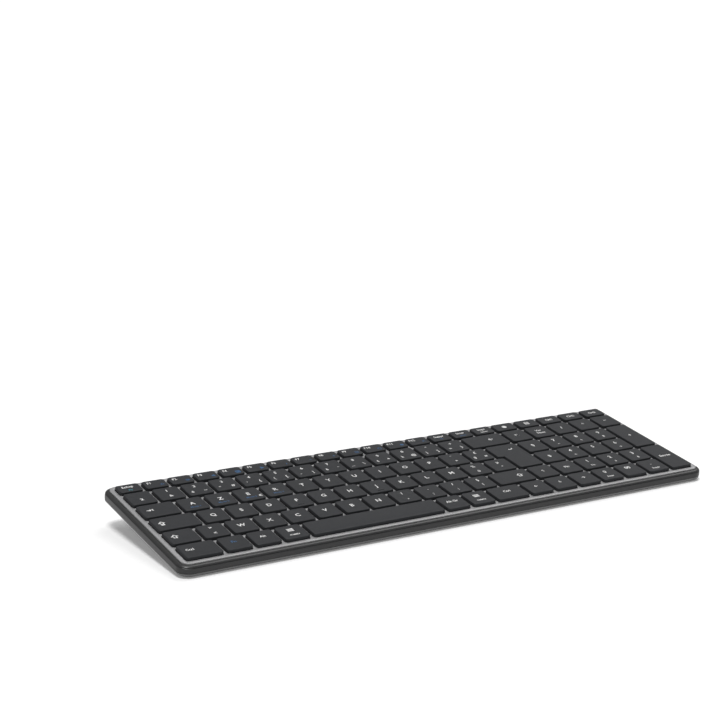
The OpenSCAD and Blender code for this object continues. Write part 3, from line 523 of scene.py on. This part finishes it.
# The cross-shaped stem with its two hooks, and the posts of a long key
def addStems(bm, key):
    cap = keyCap
    x, y = centreOf(blockRect(*key[-1]))
    spots = [(x, y)]
    wide, rows = key[-1][2], key[-1][3]
    if max(wide, rows) > cap["longKey"]:
        reach = cap["postShare"] * keyField["pitch"] * max(wide, rows)
        stepX, stepY = (reach, 0) if wide > rows else (0, reach)
        spots += [(x - stepX, y - stepY), (x + stepX, y + stepY)]
    high = cap["top"] - cap["roof"] / 2 - cap["stemFoot"]
    for x, y in spots:
        for wide, deep in ((cap["stemWide"], cap["stemWeb"]), (cap["stemWeb"], cap["stemWide"])):
            boxAt(bm, x, y, cap["stemFoot"] + high / 2, wide, deep, high)
        for side in (-1, 1):
            hookX = x + side * cap["stemWide"] / 2
            boxAt(bm, hookX, y, cap["stemFoot"] + cap["hookHigh"] / 2, 2 * cap["hookReach"], cap["stemWeb"],
                  cap["hookHigh"])


# The small bars by which the index fingers find their keys
homingNub = {
    "keys": {("left_home_keys", 3), ("right_home_keys", 1)},
    "fromFront": 2.85, "wide": 4.0, "deep": 0.9, "rise": 0.12, "soft": 0.2, "softSteps": 3,
}


def addNub(bm, key):
    nub = homingNub
    left, front, right, back = blockRect(*key[0])
    low = keyCap["top"] - 2 * keyCap["dish"]
    high = keyCap["top"] + nub["rise"]
    verts = boxAt(bm, (left + right) / 2, front + nub["fromFront"], (low + high) / 2,
                  nub["wide"], nub["deep"], high - low)
    raised = {e for v in verts for e in v.link_edges if v.co.z > low + levelWithin}
    bevelEdges(bm, raised, nub["soft"], nub["softSteps"])


# The slotted tabs under the space bar, in which its wire slides as the bar goes down
wireTab = {
    "fromEnd": 11.5, "wide": 1.4, "slotFront": -5.2,
    "section": [
        # behind the slot's front, height
        (-0.8, -0.25), (0.3, -0.25), (0.3, 0), (0, 0), (0, 1.0), (1.3, 1.0), (1.3, 0), (1.0, 0), (1.0, -0.25),
        (2.1, -0.25), (2.1, 1.5), (-0.8, 1.5),
    ],
}


def addTabs(bm, key):
    left, front, right, back = blockRect(*key[0])
    slotFront = (front + back) / 2 + wireTab["slotFront"]
    for middle in (left + wireTab["fromEnd"], right - wireTab["fromEnd"]):
        x = middle - wireTab["wide"] / 2
        side = bm.faces.new([bm.verts.new((x, slotFront + y, z)) for y, z in wireTab["section"]])
        run = bmesh.ops.extrude_face_region(bm, geom=[side])
        bmesh.ops.translate(bm, verts=newVerts(run), vec=(wireTab["wide"], 0, 0))
    bmesh.ops.recalc_face_normals(bm, faces=bm.faces)


for node, keys in keySets.items():
    caps = bmesh.new()
    for index, key in enumerate(keys):
        shell = capShell(key)
        addStems(shell, key)
        if (node, index) in homingNub["keys"]:
            addNub(shell, key)
        if node == "space_bar":
            addTabs(shell, key)
        shellMesh = bpy.data.meshes.new("shell")
        shell.to_mesh(shellMesh)
        shell.free()
        caps.from_mesh(shellMesh)
        bpy.data.meshes.remove(shellMesh)
    bmesh.ops.transform(caps, matrix=onDeck, verts=caps.verts)
    finishPiece(caps, node + "_caps", ["keyPlasticBlueSheen"], node, node)
print("caps moulded:", sum(len(keys) for keys in keySets.values()), "in", len(keySets), "pieces")


# Each corner becomes a short curve that starts and ends at its softness from it
def softenedSection(points, steps):
    loop = []
    for i, (x, z, softness) in enumerate(points):
        corner = Vector((x, z))
        before = Vector(points[i - 1][:2]) - corner
        after = Vector(points[(i + 1) % len(points)][:2]) - corner
        start = corner + before.normalized() * softness
        end = corner + after.normalized() * softness
        for k in range(steps + 1):
            share = k / steps
            loop.append(start.lerp(corner, share).lerp(corner.lerp(end, share), share))
    return loop


# A hollow rubber dome stands under each key; on the real keyboard it flattens as the key goes down, while
# here it is one rigid shape on the housing
dome = {
    "sheetTop": -6.05, "sheetSkim": 0.01, "steps": 24, "softSteps": 2, "keep": 0.25, "join": 1e-3,
    "section": [
        # distance from the dome's middle, height over the sheet, softness of the corner
        (0, 2.2, 0), (1.755, 2.2, 0.1), (2.005, 1.95, 0.1), (3.9, 0.55, 0.15), (3.9, -0.02, 0),
        (3.55, -0.02, 0), (3.55, 0.55, 0.15), (1.505, 1.5, 0.1), (0, 1.5, 0),
    ],
}


def spunDome():
    bm = bmesh.new()
    section = softenedSection(dome["section"], dome["softSteps"])
    verts = [bm.verts.new((out, 0, dome["sheetTop"] + z)) for out, z in section]
    edges = [bm.edges.new(ends) for ends in zip(verts, verts[1:])]
    bmesh.ops.spin(bm, geom=verts + edges, cent=(0, 0, 0), axis=(0, 0, 1), angle=2 * math.pi,
                   steps=dome["steps"], use_merge=True)
    bmesh.ops.remove_doubles(bm, verts=bm.verts, dist=dome["join"])
    bmesh.ops.recalc_face_normals(bm, faces=bm.faces)
    mesh = bpy.data.meshes.new("dome")
    bm.to_mesh(mesh)
    bm.free()
    return mesh


# The sheet between the domes is the CAD sheet, cut just under its top face and closed again
def flatSheet():
    bm = bmesh.new()
    bm.from_mesh(cadNodes["dome_sheet"].data)
    bmesh.ops.transform(bm, matrix=onDeck.inverted(), verts=bm.verts)
    bmesh.ops.remove_doubles(bm, verts=bm.verts, dist=dome["join"])
    height = dome["sheetTop"] - dome["sheetSkim"]
    cut = bmesh.ops.bisect_plane(bm, geom=[*bm.verts, *bm.edges, *bm.faces], dist=levelWithin,
                                 clear_outer=True, plane_co=(0, 0, height), plane_no=(0, 0, 1))
    edges = [e for e in cut["geom_cut"] if isinstance(e, bmesh.types.BMEdge)]
    bmesh.ops.triangle_fill(bm, use_beauty=True, use_dissolve=False, edges=edges, normal=(0, 0, 1))
    bmesh.ops.transform(bm, matrix=onDeck, verts=bm.verts)
    finishPiece(bm, "dome_sheet_flat", ["domeRubber"], "housing", "dome_sheet")


flatSheet()
domeMesh = spunDome()
for node, keys in keySets.items():
    domes = bmesh.new()
    for key in keys:
        x, y = centreOf(blockRect(*key[-1]))
        domes.from_mesh(domeMesh)
        bmesh.ops.translate(domes, verts=domes.verts[-len(domeMesh.vertices):], vec=(x, y, 0))
    bmesh.ops.transform(domes, matrix=onDeck, verts=domes.verts)
    piece = finishPiece(domes, node + "_domes", ["domeRubber"], "housing")
    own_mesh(piece)
bpy.data.meshes.remove(domeMesh)
print("rubber domes spun")

# Sizes are the heights of a capital, in mm, and places are counted from the key's middle
legend = {
    "letter": 3.3, "sign": 2.6, "word": 2.25, "number": 3.1, "icon": 2.2, "mode": 1.6, "low": 1.8,
    "wordY": 0.8, "letterY": 0.6, "up": 4.0, "down": -3.2,
    "tripleX": (-0.4, -4.5, 4.2), "functionAt": (-3.6, 1.9), "iconAt": (4.0, -1.7),
    "padUp": 3.0, "padDown": -3.8, "modeDown": -4.2,
    "bold": 0.021, "ink": 0.02, "sunk": 0.06, "capShare": 0.69,
    "curveSteps": 2, "halfThick": 0.5, "join": 0.0001,
}
white, blue, teal = "whiteInk", "blueInk", "tealInk"


# A mark is its text, its place, its size and its ink
def word(text, x=0, y=legend["wordY"], size=legend["word"], ink=white):
    return [(text, x, y, size, ink)]


def letter(text, y=legend["letterY"]):
    return word(text, 0, y, legend["letter"])


def pair(high, low, size=legend["sign"]):
    return word(high, 0, legend["up"], size) + word(low, 0, legend["down"], size)


def triple(high, low, right):
    size = legend["sign"]
    highX, lowX, rightX = legend["tripleX"]
    return (word(high, highX, legend["up"], size) + word(low, lowX, legend["down"], size)
            + word(right, rightX, legend["down"], size))


def function(label, icon):
    return word(label, *legend["functionAt"]) + word(icon, *legend["iconAt"], legend["icon"], blue)


def padNumber(digit, low="", size=legend["low"]):
    under = word(low, 0, legend["padDown"], size) if low else []
    return word(digit, 0, legend["padUp"], legend["number"]) + under


def moded(text, mode):
    return letter(text, legend["wordY"]) + word(mode, 0, legend["modeDown"], legend["mode"], blue)


menuMarks = word("☰", 0, 2.6, 3.7) + word("menu", 0, -3.2, 2.0)
legends = {
    "escape_key": [word("Echap", -0.4, 1.9) + word("Fn", 0, -2.6, 1.8, teal)],
    "f1_f4_keys": [function(f"F{i}", icon) for i, icon in enumerate("⌂☰◀⏯", 1)],
    "f5_f8_keys": [function(f"F{i}", icon) for i, icon in enumerate("▶♪−+", 5)],
    "f9_f12_keys": [function(f"F{i}", icon) for i, icon in enumerate("▤☀●⇱", 9)],
    "edit_keys": [
        word("Suppr", 0, 1.4) + word("fin", 0, -2.4, 1.5, blue),
        word("Inser", 0, 1.4) + word("pause", 0, -2.4, 1.5, blue),
        word("Impr", 0, 1.6) + word("écran", 0, -2.2, 1.8),
    ],
    "shortcut_keys": [word("●", 0, -0.2, 3.0), word("▤", 0, -0.2, 3.2),
                      word("CH1", 0, 0), word("CH2", 0, 0), word("CH3", 0, 0)],
    "left_digit_keys": [
        word("²", 0, legend["down"], 4.6), pair("1", "&"), triple("2", "é", "~"), triple("3", '"', "#"),
        triple("4", "'", "{"), triple("5", "(", "["), triple("6", "-", "|"),
    ],
    "right_digit_keys": [
        triple("7", "è", "`"), triple("8", "_", "\\"), triple("9", "ç", "^"), triple("0", "à", "@"),
        triple("°", ")", "]"), triple("+", "=", "}"),
    ],
    "backspace_key": [word("←", 4.3, 0.8, 3.2)],
    "home_key": [word("↖", 0, 0.8, 3.2)],
    "operator_keys": [word("Ver", 0, 2.2) + word("Num", 0, -1.6), word("/", 0, 0.8, 3),
                      word("*", 0, 0.2, 3.4), word("−", 0, 0.8, 3)],
    "tab_key": [word("⇥", -5.5, 0.8, 3.4)],
    "left_upper_keys": [moded("A", "Mode 1"), moded("Z", "Mode 2"),
                        moded("E", "Mode 3") + word("€", 6.2, -4.0, 2.3),
                        moded("R", "Mode 4"), letter("T")],
    "right_upper_keys": [letter(c) for c in "YUIOP"] + [pair("¨", "^"), triple("£", "$", "¤")],
    "enter_key": [word("↵", 1.4, 10.0, 2.8)],
    "page_up_key": [word("⇞", 0, 0.4, 3.4)],
    "caps_lock_key": [word("⇪", -8.6, 0.8, 3.6)],
    "left_home_keys": [letter(c) for c in "QSDFG"],
    "right_home_keys": [letter(c) for c in "HJKLM"] + [pair("%", "ù"), pair("µ", "*")],
    "page_down_key": [word("⇟", 0, 0.4, 3.4)],
    "upper_number_keys": [padNumber("7", "↖"), padNumber("8", "↑"), padNumber("9", "⇞", 2.4),
                          padNumber("4", "←"), padNumber("5"), padNumber("6", "→")],
    "plus_key": [word("+", 0, 0.8, 3)],
    "left_shift_key": [word("⇧", -4.2, 0.8, 3.7)],
    "left_lower_keys": [pair(">", "<")] + [letter(c) for c in "WXCV"],
    "right_lower_keys": [letter("B"), letter("N"), pair("?", ","), pair(".", ";"), pair("/", ":"),
                         pair("§", "!")],
    "right_shift_key": [word("⇧", 6.3, 0.4, 3.6)],
    "arrow_up_key": [word("↑", 0, 0.4, 2.4)],
    "end_key": [word("Fin", 0, 0.4)],
    "lower_number_keys": [padNumber("1", "Fin"), padNumber("2", "↓"), padNumber("3", "⇟", 2.4),
                          padNumber("0", "Inser"), padNumber("00"), padNumber(".", "Suppr")],
    "number_enter_key": [word("Entrée", 0, 1.0)],
    "left_ctrl_key": [word("Ctrl", -5.7, 1.4)],
    "fn_key": [word("Fn", 0, 1.4, 2.5, blue)],
    "alt_key": [word("Alt", 0, 1.4)],
    "left_menu_key": [menuMarks],
    "alt_gr_key": [word("Alt Gr", 0, 1.4)],
    "right_menu_key": [menuMarks],
    "right_ctrl_key": [word("Ctrl", 0, 1.4)],
    "arrow_left_key": [word("←", 0, 1.0, 2.4)],
    "arrow_down_key": [word("↓", 0, 1.0, 2.4)],
    "arrow_right_key": [word("→", 0, 1.0, 2.4)],
}
lettering = bpy.data.curves.new("lettering", "FONT")
lettering.offset = legend["bold"]
lettering.extrude = legend["halfThick"]
lettering.resolution_u = legend["curveSteps"]
letteringHolder = bpy.data.objects.new("lettering", lettering)
scene.collection.objects.link(letteringHolder)


def markMesh(text):
    lettering.body = text
    bpy.context.view_layer.update()
    written = letteringHolder.evaluated_get(bpy.context.evaluated_depsgraph_get())
    return bpy.data.meshes.new_from_object(written)


# The mark's upper side follows the dish as thin ink, and its lower side is sunk into the cap
def addMark(bm, key, mark, inks):
    text, x, y, size, ink = mark
    mesh = markMesh(text)
    middle = (min(v.co.x for v in mesh.vertices) + max(v.co.x for v in mesh.vertices)) / 2
    scale = size / legend["capShare"]
    keyX, keyY = centreOf(blockRect(*key[-1]))
    for v in mesh.vertices:
        markX = keyX + x + (v.co.x - middle) * scale
        markY = keyY + y - size / 2 + v.co.y * scale
        lift = legend["ink"] if v.co.z > 0 else -legend["sunk"]
        v.co = (markX, markY, capTop(key, markX, markY) + lift)
    for polygon in mesh.polygons:
        polygon.material_index = inks.index(ink)
    bm.from_mesh(mesh)
    bpy.data.meshes.remove(mesh)


for node, keyMarks in legends.items():
    printed = bmesh.new()
    inks = sorted({mark[4] for marks in keyMarks for mark in marks}, reverse=True)
    for key, marks in zip(keySets[node], keyMarks, strict=True):
        for mark in marks:
            addMark(printed, key, mark, inks)
    bmesh.ops.remove_doubles(printed, verts=printed.verts, dist=legend["join"])
    bmesh.ops.transform(printed, matrix=onDeck, verts=printed.verts)
    finishPiece(printed, node + "_legends", inks, node)
bpy.data.objects.remove(letteringHolder)
print("legends printed on", len(legends), "pieces")

# The rim's section, as distance outside the deck's edge, height and softness of each corner
rim = {
    "corner": 5.0, "turnSteps": 16, "softSteps": 3, "join": 0.002,
    "section": [
        (0.08, -0.85, 0.03), (0.5, -0.85, 0.1), (1.9, -1.1, 0.7), (2.625, -1.8, 0.12), (2.35, -2.05, 0.05),
        (2.8, -2.3, 0.08), (3.0, -3.7, 0.9), (3.0, -5.2, 0.12), (1.6, -5.2, 0.05), (1.6, -2.2, 0.05),
        (-1.2, -2.2, 0.05), (-1.2, -1.0, 0.05), (0.08, -1.0, 0.03),
    ],
}


# Carries a closed section round the deck: a quarter turn at each corner, with a straight run after it
def sweepRoundDeck(loop, corner, steps):
    bm = bmesh.new()
    halfX, halfY = deckSize[0] / 2 - corner, deckSize[1] / 2 - corner
    verts = [bm.verts.new((halfX + corner + out, halfY, z)) for out, z in loop]
    edges = [bm.edges.new((verts[i - 1], verts[i])) for i in range(len(verts))]
    for cornerX, cornerY, run in (
        (halfX, halfY, (-2 * halfX, 0, 0)), (-halfX, halfY, (0, -2 * halfY, 0)),
        (-halfX, -halfY, (2 * halfX, 0, 0)), (halfX, -halfY, (0, 2 * halfY, 0)),
    ):
        turned = bmesh.ops.spin(bm, geom=verts + edges, cent=(cornerX, cornerY, 0), axis=(0, 0, 1),
                                angle=math.pi / 2, steps=steps, use_merge=False)["geom_last"]
        turnedEdges = [item for item in turned if isinstance(item, bmesh.types.BMEdge)]
        ahead = bmesh.ops.extrude_edge_only(bm, edges=turnedEdges)
        verts = newVerts(ahead)
        edges = list({e: None for v in verts for e in v.link_edges if e.other_vert(v) in verts})
        bmesh.ops.translate(bm, verts=verts, vec=run)
    bmesh.ops.remove_doubles(bm, verts=bm.verts, dist=rim["join"])
    bmesh.ops.recalc_face_normals(bm, faces=bm.faces)
    return bm


rimLoop = softenedSection(rim["section"], rim["softSteps"])
rimPiece = sweepRoundDeck(rimLoop, rim["corner"], rim["turnSteps"])
bmesh.ops.transform(rimPiece, matrix=onDeck, verts=rimPiece.verts)
finishPiece(rimPiece, "top_case_rim", ["casePlastic"], "housing", "top_case")


# The softness of a CAD solid's sharp edges, in mm, or 0 where it is only shaded smooth
softEdges = {
    "deck_plate": 0.15, "bottom_cover": 0, "front_pads": 0.35, "left_foot_pad": 0.3, "right_foot_pad": 0.3,
    "left_foot": 0.3, "right_foot": 0.3, "power_slider": 0.06,
}
copying = {"join": 1e-6, "flatWithin": 0.5, "sharpOver": 30, "softSteps": 2}


def softenedCopy(node, softness):
    source = cadNodes[node]
    bm = bmesh.new()
    bm.from_mesh(source.data)
    bmesh.ops.remove_doubles(bm, verts=bm.verts, dist=copying["join"])
    flatWithin, sharpOver = math.radians(copying["flatWithin"]), math.radians(copying["sharpOver"])
    bmesh.ops.dissolve_limit(bm, angle_limit=flatWithin, verts=bm.verts, edges=bm.edges)
    if softness:
        sharp = [e for e in bm.edges if e.is_manifold and e.calc_face_angle() > sharpOver]
        bevelEdges(bm, sharp, softness * mm, copying["softSteps"])
    return finishPiece(bm, node + "_fine", [nodeFinishes[node]], source["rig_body"], node)


for node, softness in softEdges.items():
    softenedCopy(node, softness)
print("housing finished")
